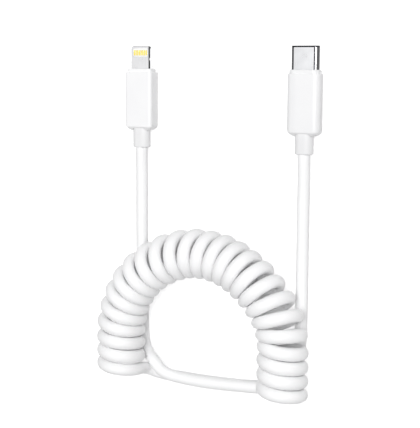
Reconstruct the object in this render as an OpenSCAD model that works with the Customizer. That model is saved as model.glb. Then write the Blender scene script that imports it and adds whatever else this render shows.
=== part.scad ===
// Charging cable with a coiled middle, lying on a table.
// Millimetres, +Z up, the table is z = 0 and both plugs point along +Y.
// The origin is under the middle of the two plugs.

/* [Cord] */
// Outside diameter of the cord
cord_d = 3.6; // [3.2:0.1:3.8]
// Diameter of one insulated core inside it
core_d = 0.8; // [0.6:0.05:0.9]

/* [Coil] */
// Radius of the turns, from the coil's axis to the cord's centre
coil_r = 5.6; // [5:0.1:6.4]
// Distance from turn to turn where the coil runs straight
coil_pitch = 4.05; // [4:0.05:4.3]
// Whole turns in the coil
coil_turns = 24; // [20:1:26]
// Gap kept between neighbouring turns
turn_gap = 0.42; // [0.41:0.01:0.6]

/* [Both plugs] */
// Length of the collars that shows
collar_l = 1.1; // [0.6:0.1:2]
// How far a housing stands out past its collar, on each side
body_step = 0.45; // [0.35:0.05:1]
// Length of a plug from its front face to the rear of its housing
body_l = 18.5; // [16:0.5:24]
// Thickness of a housing's side wall
wall = 0.6; // [0.5:0.05:0.8]
// Thickness of a housing's rear wall
rear_wall = 1.5; // [1.2:0.1:2.5]
// Width of the strain relief sleeve
relief_w = 5.4; // [5:0.1:6]
// Thickness of the strain relief sleeve
relief_t = 4.1; // [4:0.05:4.3]
// Length of the sleeve behind the housing
relief_l = 5.2; // [4:0.1:12]
// Gap round each piece that slides into another
fit = 0.05; // [0.02:0.01:0.08]
// Thickness of the circuit boards
board_t = 0.8; // [0.6:0.1:1]
// Sheet thickness of the shield cans
can_t = 0.2; // [0.15:0.05:0.3]
// Length of the shield cans
can_l = 8; // [7:0.5:9]
// Outside diameter of the crimp rings
crimp_d = 3; // [2.8:0.1:3.2]
// Length of the crimp rings
crimp_l = 2.4; // [1.5:0.1:3]

/* [Tab plug] */
// Width of the metal tab
tab_w = 6.7; // [6.6:0.1:6.8]
// Thickness of the metal tab
tab_t = 1.5; // [1.4:0.1:1.6]
// Length of the tab in front of the collar
tab_l = 6.7; // [6.5:0.1:7]
// Width of the collar's rim beside the tab
tab_rim_w = 0.8; // [0.6:0.05:1.5]
// Thickness of the collar's rim over and under the tab
tab_rim_t = 1.25; // [1.2:0.05:1.6]
// Contacts on each face of the tab
tab_pads = 8; // [8:1:8]

/* [Oval plug] */
// Width of the oval shell
shell_w = 8.25; // [8.2:0.05:8.3]
// Thickness of the oval shell
shell_t = 2.4; // [2.4:0.05:2.5]
// Length of the shell in front of the collar
shell_l = 6.65; // [6.5:0.05:6.8]
// Sheet thickness of the shell
shell_wall = 0.25; // [0.2:0.05:0.3]
// Width of the collar's rim beside the shell
oval_rim_w = 0.425; // [0.4:0.025:1]
// Thickness of the collar's rim over and under the shell
oval_rim_t = 1; // [0.9:0.05:1.5]
// Width of the mouth that takes the socket's tongue
mouth_w = 6.8; // [6.7:0.05:6.9]
// Height of that mouth
mouth_t = 0.9; // [0.8:0.05:0.95]
// Contacts in each row
oval_pads = 12; // [12:1:12]

/* [Hidden] */
$fn = 48;
cut = 0.1;          // how far a cut runs past the face it opens

// ---- outer sizes of collars and housings ----
tab_collar_w = tab_w + 2 * tab_rim_w;
tab_collar_t = tab_t + 2 * tab_rim_t;
tab_body_w = tab_collar_w + 2 * body_step;
tab_body_t = tab_collar_t + 2 * body_step;
oval_collar_w = shell_w + 2 * oval_rim_w;
oval_collar_t = shell_t + 2 * oval_rim_t;
oval_body_w = oval_collar_w + 2 * body_step;
oval_body_t = oval_collar_t + 2 * body_step;

// ---- where things lie ----
tab_x = -27;        // the tab plug's centre line
oval_x = 26.6;      // the oval plug's centre line
face_y = 8.5;       // front faces of both collars
tab_z = tab_body_t / 2;
oval_z = oval_body_t / 2;
low_z = cord_d / 2;                 // cord lying on the table
lay_gap = 0.2;                      // air between cords that cross
run_z = low_z + cord_d + lay_gap;   // cord lying on another cord
column_z = run_z + coil_r;          // coil's axis over the straight columns
crown_z = coil_r + low_z + 0.1;     // coil's axis at the crown, near the table

// ---- the coil's axis: two straight columns and an arch between them ----
left_x = -29.2;     // left column
right_x = 24.7;     // right column
crown_x = -4.5;     // top of the arch
crown_y = -45.5;
left_y = -71.8;     // where the arch springs from the left column
right_y = -69.5;    // where it springs from the right column
end_y = -83.7;      // coil's end on the right column
deg_l = 0.5;        // length of column for each degree past the arch's own 0 to 180
bend_share = 0.4;   // how far the turns spread with the bend
rise_from = 0.1;    // cosines of the arch angle between which the axis climbs
rise_to = 0.85;
smooth_a = 12;      // half the stretch of arch, in degrees, over which the bend is taken
turn_rings = 8;
coil_sides = 6;
tail_sides = 8;

function unit(v) = v / norm(v);
function ease(u) = let (c = min(1, max(0, u))) c * c * (3 - 2 * c);
function axis_z(a) = crown_z
    + (column_z - crown_z) * ease((abs(cos(a)) - rise_from) / (rise_to - rise_from));
function axis_at(a) =
    a > 180 ? [left_x, left_y - (a - 180) * deg_l, column_z] :
    a < 0 ? [right_x, right_y + a * deg_l, column_z] :
    a > 90 ? [crown_x + (crown_x - left_x) * cos(a), left_y + (crown_y - left_y) * sin(a), axis_z(a)] :
    [crown_x + (right_x - crown_x) * cos(a), right_y + (crown_y - right_y) * sin(a), axis_z(a)];
// direction of the axis in plan, running from the left column to the right one
function heading(a) = let (v = axis_at(a - 0.5) - axis_at(a + 0.5)) atan2(v[1], v[0]);
// turning of the axis, in radians for each millimetre
function bend(a) =
    (heading(a + smooth_a) - heading(a - smooth_a)) * PI / 180
    / (norm(axis_at(a + smooth_a) - axis_at(a)) + norm(axis_at(a) - axis_at(a - smooth_a)));

// wound length against the arch angle, from the coil's right end
first_a = (end_y - right_y) / deg_l;
last_a = 240;
winding = [for (a = first_a, w = 0; a <= last_a;
    w = w + norm(axis_at(a + 1) - axis_at(a)) * (1 - bend_share * coil_r * bend(a + 0.5)),
    a = a + 1) [w, a]];

// the cord's centre n turns from the coil's right end, and the way out from the axis there
function turn_angle(n) = 360 * n - 90;
function turn_a(n) = lookup(n * coil_pitch, winding);
function turn_out(n) = let (h = heading(turn_a(n)), f = turn_angle(n))
    [-sin(h) * cos(f), cos(h) * cos(f), sin(f)];
function turn_at(n) = axis_at(turn_a(n)) + coil_r * turn_out(n);
function turn_along(n) = unit(turn_at(n + 0.01) - turn_at(n - 0.01));

turns = coil_turns + 0.75;          // it ends heading straight down at the left column
turn_count = turns * turn_rings;
turn_points = [for (i = [0:turn_count]) turn_at(i / turn_rings)];
// the cord is pressed narrower where the inside of the bend leaves less than its diameter
function turn_step(i) = i < 0 || i + turn_rings > turn_count ? 2 * cord_d
    : norm(turn_points[i + turn_rings] - turn_points[i]);
function turn_w(i) = min(cord_d, turn_step(i) - turn_gap, turn_step(i - turn_rings) - turn_gap);
right_way = turn_along(0);
left_way = turn_along(turns);
right_end = turn_points[0] - cord_d * right_way;
left_end = turn_points[turn_count] + cord_d * left_way;

// a ring of points about p, across the directions u and v
function ring(p, u, v, ru, rv, sides) =
    [for (k = [0:sides - 1]) let (f = 360 * k / sides) p + u * ru * cos(f) + v * rv * sin(f)];
function coil_ring(p, n, w) = let (o = turn_out(n), s = unit(cross(turn_along(n), o)))
    ring(p, s, o, w / 2, cord_d / 2, coil_sides);
coil_rings = concat(
    [coil_ring(right_end, 0, turn_w(0))],
    [for (i = [0:turn_count]) coil_ring(turn_points[i], i / turn_rings, turn_w(i))],
    [coil_ring(left_end, turns, turn_w(turn_count))]);

// least gap between one turn and the next, taken between the points of their rings
near_rings = [turn_rings - 1, turn_rings, turn_rings + 1];
self_gap = min([for (i = [1:turn_count - turn_rings - 1], d = near_rings,
    p = coil_rings[i], q = coil_rings[i + d]) norm(p - q)]);
echo(least_gap_between_turns = self_gap);

// ---- free stretches, as points chosen along the cord's centre ----
jacket_y = face_y - body_l + rear_wall;         // where the cord's jacket starts
mouth_y = face_y - body_l - relief_l;           // where the cord leaves the sleeve
tab_tail_path = [
    [tab_x, jacket_y, tab_z], [tab_x, mouth_y, tab_z], [-27.1, -18, 2.4], [-27.3, -22, 2],
    [-27.4, -27, low_z], [-27.4, -36, low_z], [-27.4, -44, low_z]];
tab_run_path = concat([
    [-27.4, -44, low_z], [-27.4, -52, low_z], [-27.3, -60, low_z],
    [-27.1, -67, low_z], [-27, -71, low_z], [-26.7, -74.8, 1.9], [-25.8, -76.9, 2.5],
    [-24.2, -78.8, 3.5], [-22.6, -79.6, 4.6], [-21, -80.2, 5.6], [-19.5, -81.3, 6.3],
    [-18, -82.7, 6.4], [-15.8, -83.9, 6], [-11, -84.6, run_z], [-4, -84.8, run_z],
    [3, -84.6, run_z], [10, -84.2, run_z], [16, -83.9, run_z]],
    [right_end - 2 * right_way, right_end]);
oval_run_path = concat([left_end, left_end + 0.8 * left_way], [
    [-22.6, -83.8, 4.6], [-21.7, -84.6, 3.2], [-20.2, -85.2, 2.2], [-18.4, -85.5, low_z],
    [-12, -85.6, low_z], [-4, -85.6, low_z], [3, -85.4, low_z], [9, -85.1, low_z],
    [14, -84.5, low_z], [18.5, -83.1, low_z], [22.3, -80.4, low_z], [24.7, -76.6, low_z],
    [25.8, -72, low_z], [26.2, -67, low_z], [26.3, -60, low_z], [26.3, -52, low_z],
    [26.3, -44, low_z]]);
oval_tail_path = [
    [26.3, -44, low_z], [26.3, -36, low_z], [26.3, -27, low_z], [26.5, -22, 2.2],
    [26.6, -18, 2.6], [oval_x, mouth_y, oval_z], [oval_x, jacket_y, oval_z]];

// a side direction carried along the path without twisting
function ways(p) = let (last = len(p) - 1)
    [for (i = [0:last]) unit(p[min(i + 1, last)] - p[max(i - 1, 0)])];
function carried(t, s, i = 0) = i == len(t) ? []
    : let (c = unit(s - (s * t[i]) * t[i])) concat([c], carried(t, c, i + 1));
function path_rings(p) = let (t = ways(p), s = carried(t, [0, 1, 0.2]))
    [for (i = [0:len(p) - 1]) ring(p[i], s[i], cross(s[i], t[i]), cord_d / 2, cord_d / 2, tail_sides)];

// one closed solid through a list of rings
module tube(rings) {
    m = len(rings[0]);
    last = len(rings) - 1;
    sides = [for (i = [0:last - 1], k = [0:m - 1])
        let (a = i * m + k, b = i * m + (k + 1) % m)
        each [[a, b, a + m], [b, b + m, a + m]]];
    caps = [for (k = [1:m - 2]) each [[0, k + 1, k], [last * m, last * m + k, last * m + k + 1]]];
    polyhedron(points = [for (r = rings) each r], faces = concat(sides, caps));
}

// ---- plug pieces, drawn about a plug's centre line with y = 0 at its front face ----
module at_tab() { translate([tab_x, face_y, tab_z]) children(); }
module at_oval() { translate([oval_x, face_y, oval_z]) children(); }

// a rectangle with round corners
module plate(w, t, r) {
    square([w - 2 * r, t], center = true);
    square([w, t - 2 * r], center = true);
    for (x = [-1, 1], y = [-1, 1])
        translate([x * (w / 2 - r), y * (t / 2 - r)]) circle(r);
}

// a bar of a plate's section that runs back along -Y from its front
module bar(w, t, r, front, l) {
    translate([0, front, 0]) rotate([90, 0, 0]) linear_extrude(l) plate(w, t, r);
}

module box(w, l, t, front, z = 0) {
    translate([-w / 2, front - l, z - t / 2]) cube([w, l, t]);
}

module rod(d, front, l, x = 0, z = 0) {
    translate([x, front, z]) rotate([90, 0, 0]) cylinder(d = d, h = l);
}

// housing: a case open at the front, drawn in at the rear, with a hole for the sleeve
rear_draw = 1.15;   // how much narrower each side ends
rear_drop = 0.22;   // how much thinner the top and the bottom end
sleeve_r = 1.6;     // corner radius of the sleeve
module housing(w, t, r, cavity_r) {
    difference() {
        hull($fn = 32) {
            bar(w, t, r, -collar_l, 0.01);
            bar(w, t, r, rear_wall - body_l, 0.01);
            bar(w - rear_draw, t - rear_drop, r, 0.5 - body_l, 0.01);
            bar(w - 2 * rear_draw, t - 2 * rear_drop, r, 0.01 - body_l, 0.01);
        }
        bar(w - 2 * wall, t - 2 * wall, cavity_r, cut - collar_l, body_l - collar_l - rear_wall + cut);
        bar(relief_w + 2 * fit, relief_t + 2 * fit, sleeve_r, rear_wall - body_l + cut, rear_wall + 2 * cut);
    }
}

// collar: the rim that shows and the spigot behind it
spigot_l = 2;
module collar(w, t, r, in_w, in_t, in_r) {
    bar(w, t, r, 0, collar_l);
    bar(in_w - 2 * fit, in_t - 2 * fit, in_r - fit, -collar_l, spigot_l);
}

module shield_can(w, t, r, front) {
    difference() {
        bar(w - 2 * fit, t - 2 * fit, r - fit, front, can_l);
        bar(w - 2 * fit - 2 * can_t, t - 2 * fit - 2 * can_t, r - fit - can_t, front + cut, can_l + 2 * cut);
    }
}

// cores lie two by two and pass through the crimp in the inner mould
core_step = core_d + 0.04;
bundle_d = core_step * sqrt(2) + core_d;
module cores(front, d) {
    for (x = [-0.5, 0.5], z = [-0.5, 0.5])
        rod(d, front, body_l - rear_wall + front, x * core_step, z * core_step);
}
crimp_front = crimp_l + 0.6 + rear_wall - body_l;
module crimp() {
    difference() {
        rod(crimp_d, crimp_front, crimp_l);
        rod(bundle_d + 2 * fit, crimp_front + cut, crimp_l + 2 * cut);
    }
}
module inner_mould(w, t, r, front) {
    difference() {
        bar(w - 2 * fit, t - 2 * fit, r - fit, front, body_l - rear_wall + front);
        rod(crimp_d + 2 * fit, crimp_front, crimp_l);
        rod(bundle_d + 2 * fit, front + cut, body_l);
    }
}

module relief() {
    difference() {
        bar(relief_w, relief_t, sleeve_r, rear_wall - body_l, rear_wall + relief_l);
        rod(cord_d + 2 * fit, rear_wall - body_l + cut, rear_wall + relief_l + 2 * cut);
    }
}

// ---- tab plug ----
tab_r = 0.9;                        // housing's corner radius
tab_cavity_w = tab_body_w - 2 * wall;
tab_cavity_t = tab_body_t - 2 * wall;
tab_cavity_r = 0.6;
tab_root = 4.2;                     // length of the tab behind the collar's face
tab_tip_r = 0.7;                    // tip corner radius, seen from above
tab_slot_l = 1.5;                   // board's seat in the rear of the tab
tab_board_w = 5;
tab_board_l = 9.4;
window_w = 5.2;                     // opening that holds the insulator
window_l = 2.6;
window_y = 3.5;                     // its rear edge
notch_r = 0.5;                      // side notches that the socket's springs grip
notch_y = 2.8;
notch_x = 0.2;                      // how far the notch's centre lies outside the edge
pad_pitch = 0.6;
pad_w = 0.42;
pad_l = 1.55;
pad_t = 0.15;
pad_y = 3.9;                        // rear edge of the pads
tab_can_front = -collar_l - spigot_l;

module tab_housing() {
    color("white") at_tab() housing(tab_body_w, tab_body_t, tab_r, tab_cavity_r);
}
module tab_collar() {
    color("white") at_tab() difference() {
        collar(tab_collar_w, tab_collar_t, 1.2, tab_cavity_w, tab_cavity_t, tab_cavity_r);
        box(tab_w + 2 * fit, collar_l + spigot_l + 2 * cut, tab_t + 2 * fit, cut);
    }
}
module tab_tongue() {
    color("silver") at_tab() difference() {
        translate([0, 0, -tab_t / 2]) linear_extrude(tab_t) {
            translate([-tab_w / 2, -tab_root]) square([tab_w, tab_root + tab_l - tab_tip_r]);
            translate([tab_tip_r - tab_w / 2, -tab_root]) square([tab_w - 2 * tab_tip_r, tab_root + tab_l]);
            for (x = [-1, 1]) translate([x * (tab_w / 2 - tab_tip_r), tab_l - tab_tip_r]) circle(tab_tip_r);
        }
        box(window_w, window_l, tab_t + 2 * cut, window_y + window_l);
        box(tab_board_w + 2 * fit, tab_slot_l + cut, board_t + 2 * fit, tab_slot_l - tab_root);
        for (x = [-1, 1])
            translate([x * (tab_w / 2 + notch_x), notch_y, -tab_t / 2 - cut]) cylinder(r = notch_r, h = tab_t + 2 * cut);
    }
}
// the eight pads of one face; side is 1 for the top and -1 for the bottom
module tab_pad_row(side, grow = 0) {
    for (i = [0:tab_pads - 1])
        translate([(i - (tab_pads - 1) / 2) * pad_pitch, 0, 0])
            box(pad_w + 2 * grow, pad_l + 2 * grow, pad_t + grow,
                pad_y + pad_l + grow, side * (tab_t / 2 - pad_t / 2 + grow / 2));
}
module tab_insulator() {
    color("whitesmoke") at_tab() difference() {
        box(window_w - 2 * fit, window_l - 2 * fit, tab_t, window_y + window_l - fit);
        for (side = [-1, 1]) tab_pad_row(side, 0.01);
    }
}
module tab_contacts_top() { color("gold") at_tab() tab_pad_row(1); }
module tab_contacts_bottom() { color("gold") at_tab() tab_pad_row(-1); }
tab_board_front = tab_slot_l - tab_root - fit;
module tab_circuit_board() {
    color("seagreen") at_tab() box(tab_board_w, tab_board_l, board_t, tab_board_front);
}
chip_t = 0.6;
module chip(w, l, front, t) { box(w, l, chip_t, front, (t + chip_t) / 2); }
module tab_chip() { color("dimgray") at_tab() chip(2.6, 2.2, -6, board_t); }
module tab_shield_can() {
    color("silver") at_tab() shield_can(tab_cavity_w, tab_cavity_t, tab_cavity_r, tab_can_front);
}
tab_cores_front = tab_board_front - tab_board_l;
tab_mould_front = min(tab_can_front - can_l, tab_cores_front);
module tab_inner_mould() {
    color("ivory") at_tab() inner_mould(tab_cavity_w, tab_cavity_t, tab_cavity_r, tab_mould_front);
}
module tab_wires() { color("orangered") at_tab() cores(tab_cores_front, core_d); }
module tab_crimp() { color("silver") at_tab() crimp(); }
module tab_relief() { color("white") at_tab() relief(); }

// ---- oval plug ----
oval_r = 1.8;
oval_cavity_w = oval_body_w - 2 * wall;
oval_cavity_t = oval_body_t - 2 * wall;
oval_cavity_r = 1.3;
shell_root = 4.5;                   // length of the shell behind the collar's face
carrier_w = shell_w - 2 * shell_wall - 2 * fit;
carrier_t = shell_t - 2 * shell_wall - 2 * fit;
carrier_in = 0.45;                  // how far the carrier lies behind the shell's rim
mouth_back = 0.9;                   // bottom of the mouth
strip_pitch = 0.5;
strip_w = 0.25;
strip_t = 0.12;
strip_in = 0.05;                    // how far the strips stand into the mouth
strip_front = 5.6;
strip_z = mouth_t / 2 - strip_in + strip_t / 2;
strip_lap = 0.7;                    // length soldered to the board
arm_w = 0.2;                        // latch arms, along the mouth's side walls
arm_x = mouth_w / 2 - arm_w;
arm_t = 0.5;
arm_front = 4.8;
hook_w = 0.2;
hook_l = 0.6;
bridge_l = 1;                       // where the arms join the mid plate
mid_w = 5.6;
mid_t = 0.2;
spring_w = 5;
spring_l = 1.1;
spring_t = 0.15;
spring_y = 5.9;
oval_board_w = 7;
oval_board_l = 7.6;

// a bar with fully round sides
module oval(w, t, front, l) {
    translate([0, front, 0]) rotate([90, 0, 0]) linear_extrude(l) {
        square([w - t, t], center = true);
        for (x = [-1, 1]) translate([x * (w - t) / 2, 0]) circle(d = t);
    }
}
module oval_housing() {
    color("white") at_oval() housing(oval_body_w, oval_body_t, oval_r, oval_cavity_r);
}
module oval_collar() {
    color("white") at_oval() difference() {
        collar(oval_collar_w, oval_collar_t, oval_r, oval_cavity_w, oval_cavity_t, oval_cavity_r);
        oval(shell_w + 2 * fit, shell_t + 2 * fit, cut, collar_l + spigot_l + 2 * cut);
    }
}
module oval_shell() {
    color("silver") at_oval() difference() {
        oval(shell_w, shell_t, shell_l, shell_l + shell_root);
        oval(shell_w - 2 * shell_wall, shell_t - 2 * shell_wall, shell_l + cut, shell_l + shell_root + 2 * cut);
    }
}
// the strips of one row; side is 1 for the top and -1 for the bottom
module strip_row(side, grow = 0) {
    for (i = [0:oval_pads - 1])
        translate([(i - (oval_pads - 1) / 2) * strip_pitch, 0, 0])
            box(strip_w + 2 * grow, strip_front + shell_root + fit + strip_lap + grow, strip_t + 2 * grow,
                strip_front + grow, side * strip_z);
}
module latch_arms(grow = 0) {
    for (x = [-1, 1]) {
        translate([x * arm_x, 0, 0])
            box(arm_w + 2 * grow, arm_front + bridge_l + 2 * grow, arm_t + 2 * grow, arm_front + grow);
        translate([x * (arm_x + mid_w / 2) / 2, 0, 0])
            box(arm_x - mid_w / 2 + arm_w + 2 * grow, bridge_l + 2 * grow, mid_t + 2 * grow, grow);
    }
    box(mid_w + 2 * grow, shell_root + 2 * grow, mid_t + 2 * grow, grow);
}
module ground_spring(side, grow = 0) {
    box(spring_w + 2 * grow, spring_l + 2 * grow, spring_t + grow,
        spring_y + grow, side * (carrier_t / 2 - spring_t / 2 + grow / 2));
}
module oval_carrier() {
    color("dimgray") at_oval() difference() {
        oval(carrier_w, carrier_t, shell_l - carrier_in, shell_l - carrier_in + shell_root);
        box(mouth_w, shell_l - mouth_back, mouth_t, shell_l);
        for (side = [-1, 1]) {
            strip_row(side, 0.01);
            ground_spring(side, 0.01);
        }
        latch_arms(0.01);
    }
}
module oval_contacts_top() { color("gold") at_oval() strip_row(1); }
module oval_contacts_bottom() { color("gold") at_oval() strip_row(-1); }
module oval_latch_spring() {
    color("silver") at_oval() {
        latch_arms();
        for (x = [-1, 1]) translate([x * (arm_x - arm_w / 2 - hook_w / 2), 0, 0])
            box(hook_w, hook_l, arm_t, arm_front);
    }
}
module oval_ground_springs() { color("silver") at_oval() for (side = [-1, 1]) ground_spring(side); }
oval_board_t = 2 * (strip_z - strip_t / 2);
oval_board_front = -shell_root - fit;
oval_can_front = -shell_root - fit;
module oval_circuit_board() {
    color("seagreen") at_oval() box(oval_board_w, oval_board_l, oval_board_t, oval_board_front);
}
module oval_chip() {
    color("dimgray") at_oval() chip(3.4, 3, -7.4, oval_board_t);
}
module oval_shield_can() {
    color("silver") at_oval() shield_can(oval_cavity_w, oval_cavity_t, oval_cavity_r, oval_can_front);
}
oval_cores_front = oval_board_front - oval_board_l;
oval_mould_front = min(oval_can_front - can_l, oval_cores_front);
module oval_inner_mould() {
    color("ivory") at_oval() inner_mould(oval_cavity_w, oval_cavity_t, oval_cavity_r, oval_mould_front);
}
module oval_wires() { color("orangered") at_oval() cores(oval_cores_front, core_d); }
module oval_crimp() { color("silver") at_oval() crimp(); }
module oval_relief() { color("white") at_oval() relief(); }

// ---- cord ----
module tab_tail() { color("white") tube(path_rings(tab_tail_path)); }
module tab_run() { color("white") tube(path_rings(tab_run_path)); }
module coil() { color("white") tube(coil_rings); }
module oval_run() { color("white") tube(path_rings(oval_run_path)); }
module oval_tail() { color("white") tube(path_rings(oval_tail_path)); }

tab_housing();
tab_collar();
tab_tongue();
tab_insulator();
tab_contacts_top();
tab_contacts_bottom();
tab_circuit_board();
tab_chip();
tab_shield_can();
tab_inner_mould();
tab_wires();
tab_crimp();
tab_relief();
oval_housing();
oval_collar();
oval_shell();
oval_carrier();
oval_contacts_top();
oval_contacts_bottom();
oval_latch_spring();
oval_ground_springs();
oval_circuit_board();
oval_chip();
oval_shield_can();
oval_inner_mould();
oval_wires();
oval_crimp();
oval_relief();
tab_tail();
tab_run();
coil();
oval_run();
oval_tail();
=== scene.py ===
import math

import bmesh
import bpy
from mathutils import Matrix, Vector


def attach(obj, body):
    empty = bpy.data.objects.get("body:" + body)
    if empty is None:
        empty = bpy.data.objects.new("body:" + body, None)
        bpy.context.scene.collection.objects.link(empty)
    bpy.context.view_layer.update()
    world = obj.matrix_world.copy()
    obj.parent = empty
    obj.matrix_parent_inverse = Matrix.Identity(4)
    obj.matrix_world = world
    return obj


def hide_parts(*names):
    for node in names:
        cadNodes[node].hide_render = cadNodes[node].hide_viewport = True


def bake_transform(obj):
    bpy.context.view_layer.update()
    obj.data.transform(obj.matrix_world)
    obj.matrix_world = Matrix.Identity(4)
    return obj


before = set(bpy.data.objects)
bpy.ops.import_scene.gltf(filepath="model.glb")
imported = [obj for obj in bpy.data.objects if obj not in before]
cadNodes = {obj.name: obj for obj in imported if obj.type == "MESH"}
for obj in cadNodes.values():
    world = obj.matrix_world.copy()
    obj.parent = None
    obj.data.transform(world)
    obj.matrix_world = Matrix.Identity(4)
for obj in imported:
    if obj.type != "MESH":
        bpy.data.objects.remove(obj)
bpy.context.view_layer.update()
print("frame loaded:", len(cadNodes), "nodes")

mm = 0.001
snap = 1e-6  # m, places nearer than this count as one
bench = {
    "weld": 0.004,  # mm, merges what two rounded corners leave where they meet
    "smoothUpTo": 35,  # degrees between two faces that still shade as one
    "alongFrom": 0.9,  # share of an edge's length from which it runs one way
}


# bench work that every piece uses
def deselectAll():
    bpy.ops.object.select_all(action="DESELECT")


def activate(piece):
    piece.select_set(True)
    bpy.context.view_layer.objects.active = piece


# size is width, length and thickness in mm, and front is where its front end lies
def addBar(name, size, front, across=0, height=0):
    deselectAll()
    place = Vector((across, front - size[1] / 2, height)) * mm
    bpy.ops.mesh.primitive_cube_add(size=1, location=place)
    bar = bpy.context.object
    bar.name = name
    bar.scale = Vector(size) * mm
    bpy.ops.object.transform_apply(location=True, rotation=False, scale=True)
    return bar


# leaves edit mode on, with the faces or edges that pass a test selected
def pick(piece, kind, test):
    if bpy.context.mode != "OBJECT":
        bpy.ops.object.mode_set(mode="OBJECT")
    deselectAll()
    activate(piece)
    bpy.ops.object.mode_set(mode="EDIT")
    bpy.ops.mesh.select_mode(type="FACE" if kind == "faces" else "EDGE")
    bpy.ops.mesh.select_all(action="DESELECT")
    mesh = bmesh.from_edit_mesh(piece.data)
    for part in getattr(mesh, kind):
        if test(part):
            part.select_set(True)
    bmesh.update_edit_mesh(piece.data)


def roundEdges(piece, radius, segments, test):
    pick(piece, "edges", test)
    bpy.ops.mesh.bevel(offset=radius * mm, segments=segments, profile=0.5, affect="EDGES")
    bpy.ops.object.mode_set(mode="OBJECT")


def runsAlong(edge):  # an edge that runs from front to rear
    way = edge.verts[1].co - edge.verts[0].co
    return abs(way.y) > bench["alongFrom"] * way.length


def runsUp(edge):
    way = edge.verts[1].co - edge.verts[0].co
    return abs(way.z) > bench["alongFrom"] * way.length


def liesAt(y):  # tests for the edges or faces of an end
    return lambda part: all(abs(v.co.y - y * mm) < snap for v in part.verts)


def liesBy(x, z):  # tests for edges at one place across and one height
    return lambda edge: all(abs(v.co.x - x * mm) < snap and abs(v.co.z - z * mm) < snap
                            for v in edge.verts)


def anyPart(part):
    return True


def addRoundBar(name, size, radius, segments, front, across=0, height=0):
    bar = addBar(name, size, front, across, height)
    roundEdges(bar, radius, segments, runsAlong)
    pick(bar, "faces", anyPart)
    bpy.ops.mesh.remove_doubles(threshold=bench["weld"] * mm)
    bpy.ops.object.mode_set(mode="OBJECT")
    return bar


def cutAway(piece, cutter):
    deselectAll()
    activate(piece)
    cut = piece.modifiers.new("cutAway", "BOOLEAN")
    cut.operation = "DIFFERENCE"
    cut.solver = "EXACT"
    cut.object = cutter
    bpy.ops.object.modifier_apply(modifier=cut.name)
    bpy.data.objects.remove(cutter)


# known fault: meant to bulge the flat top and bottom, but the first lift tilts them, the later
# cuts are then not found at the height, and only one low ridge comes up, left of the middle
def crownFaces(piece, halfFlat, height, crown, cuts):
    for i in range(1, cuts + 1):
        x = halfFlat * (2 * i / (cuts + 1) - 1)
        pick(piece, "faces", anyPart)
        bpy.ops.mesh.bisect(plane_co=(x * mm, 0, 0), plane_no=(1, 0, 0))
        for side in (-1, 1):
            pick(piece, "edges", liesBy(x, side * height))
            lift = side * crown * (1 - (x / halfFlat) ** 2) * mm
            bpy.ops.transform.translate(value=(0, 0, lift))
    bpy.ops.object.mode_set(mode="OBJECT")


def drawEnd(piece, end, size, mostIn, profile):  # draws the rear end in, step by step
    pick(piece, "faces", liesAt(end))
    halfWidth, halfHeight = size[0] / 2, size[2] / 2
    reached, sideGone, faceGone = 0, 0, 0
    for along, share, faceIn in profile:
        back = (0, (reached - along) * mm, 0)
        bpy.ops.mesh.extrude_region_move(TRANSFORM_OT_translate={"value": back})
        sideIn = share * mostIn
        narrower = (halfWidth - sideIn) / (halfWidth - sideGone)
        flatter = (halfHeight - faceIn) / (halfHeight - faceGone)
        bpy.ops.transform.resize(value=(narrower, 1, flatter), center_override=(0, 0, 0))
        reached, sideGone, faceGone = along, sideIn, faceIn
    bpy.ops.object.mode_set(mode="OBJECT")


def copyRow(piece, count, pitch):  # copies beside each other, joined into one piece
    row = [piece]
    for i in range(1, count):
        twin = piece.copy()
        twin.data = piece.data.copy()
        bpy.context.scene.collection.objects.link(twin)
        twin.location.x += i * pitch * mm
        row.append(twin)
    deselectAll()
    for twin in reversed(row):
        activate(twin)
    bpy.ops.object.join()
    bpy.ops.object.transform_apply(location=True, rotation=False, scale=False)
    return piece


def finishPiece(piece, plug, finish, node):  # puts a piece in its place on its plug
    deselectAll()
    activate(piece)
    piece.location = Vector((plug["x"], faceY, plug["z"])) * mm
    bpy.ops.object.transform_apply(location=True, rotation=True, scale=True)
    bpy.ops.object.shade_smooth_by_angle(angle=math.radians(bench["smoothUpTo"]))
    piece.data.materials.clear()
    piece.data.materials.append(finishes[finish])
    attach(piece, plug["body"])
    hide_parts(node)


cameraSetup = {
    "target": (0.06, -33.18, 8.91),  # mm, the point in the middle of the view
    "distance": 314.2,  # mm
    "leanRight": 27.94,  # degrees away from straight above, towards +X
    "leanAhead": 7.78,  # and towards +Y
    "roll": 0.33,
    "lens": 91.07,  # mm
    "sensor": 36,  # mm
    "clip": (0.01, 10),  # m
}


def addCamera(setup):
    right, ahead, roll = (math.radians(setup[key]) for key in ("leanRight", "leanAhead", "roll"))
    back = Vector((math.sin(right) * math.cos(ahead), math.sin(ahead),
                   math.cos(right) * math.cos(ahead)))
    level = Vector((0, 1, 0)).cross(back).normalized()
    upright = back.cross(level)
    across = level * math.cos(roll) + upright * math.sin(roll)
    up = upright * math.cos(roll) - level * math.sin(roll)
    place = (Vector(setup["target"]) + back * setup["distance"]) * mm
    turn = Matrix((across, up, back)).transposed().to_euler()
    bpy.ops.object.camera_add(location=place, rotation=turn)
    camera = bpy.context.object
    camera.name = "studioCamera"
    camera.data.lens = setup["lens"]
    camera.data.sensor_width = setup["sensor"]
    camera.data.clip_start, camera.data.clip_end = setup["clip"]
    bpy.context.scene.camera = camera


studio = {
    "floorSize": 1.6,  # m
    "floorTone": (0.65, 0.65, 0.65, 1),
    "floorLift": 0.66,  # what the floor adds of its own where the camera, metal or glass sees it
    "skyLevel": 0.36,  # soft light from all round
    "darkUpTo": (0.05, 0.60),  # sines of the heights up to which it is dim and from which it is full
    "darkLevel": 0.12,
    "keyPower": 11.2,  # W
    "keySize": 0.60,  # m
    "keyPlace": (0.34, 0.24, 1.10),
    "keyAim": (0, -0.035, 0.006),
}


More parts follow.
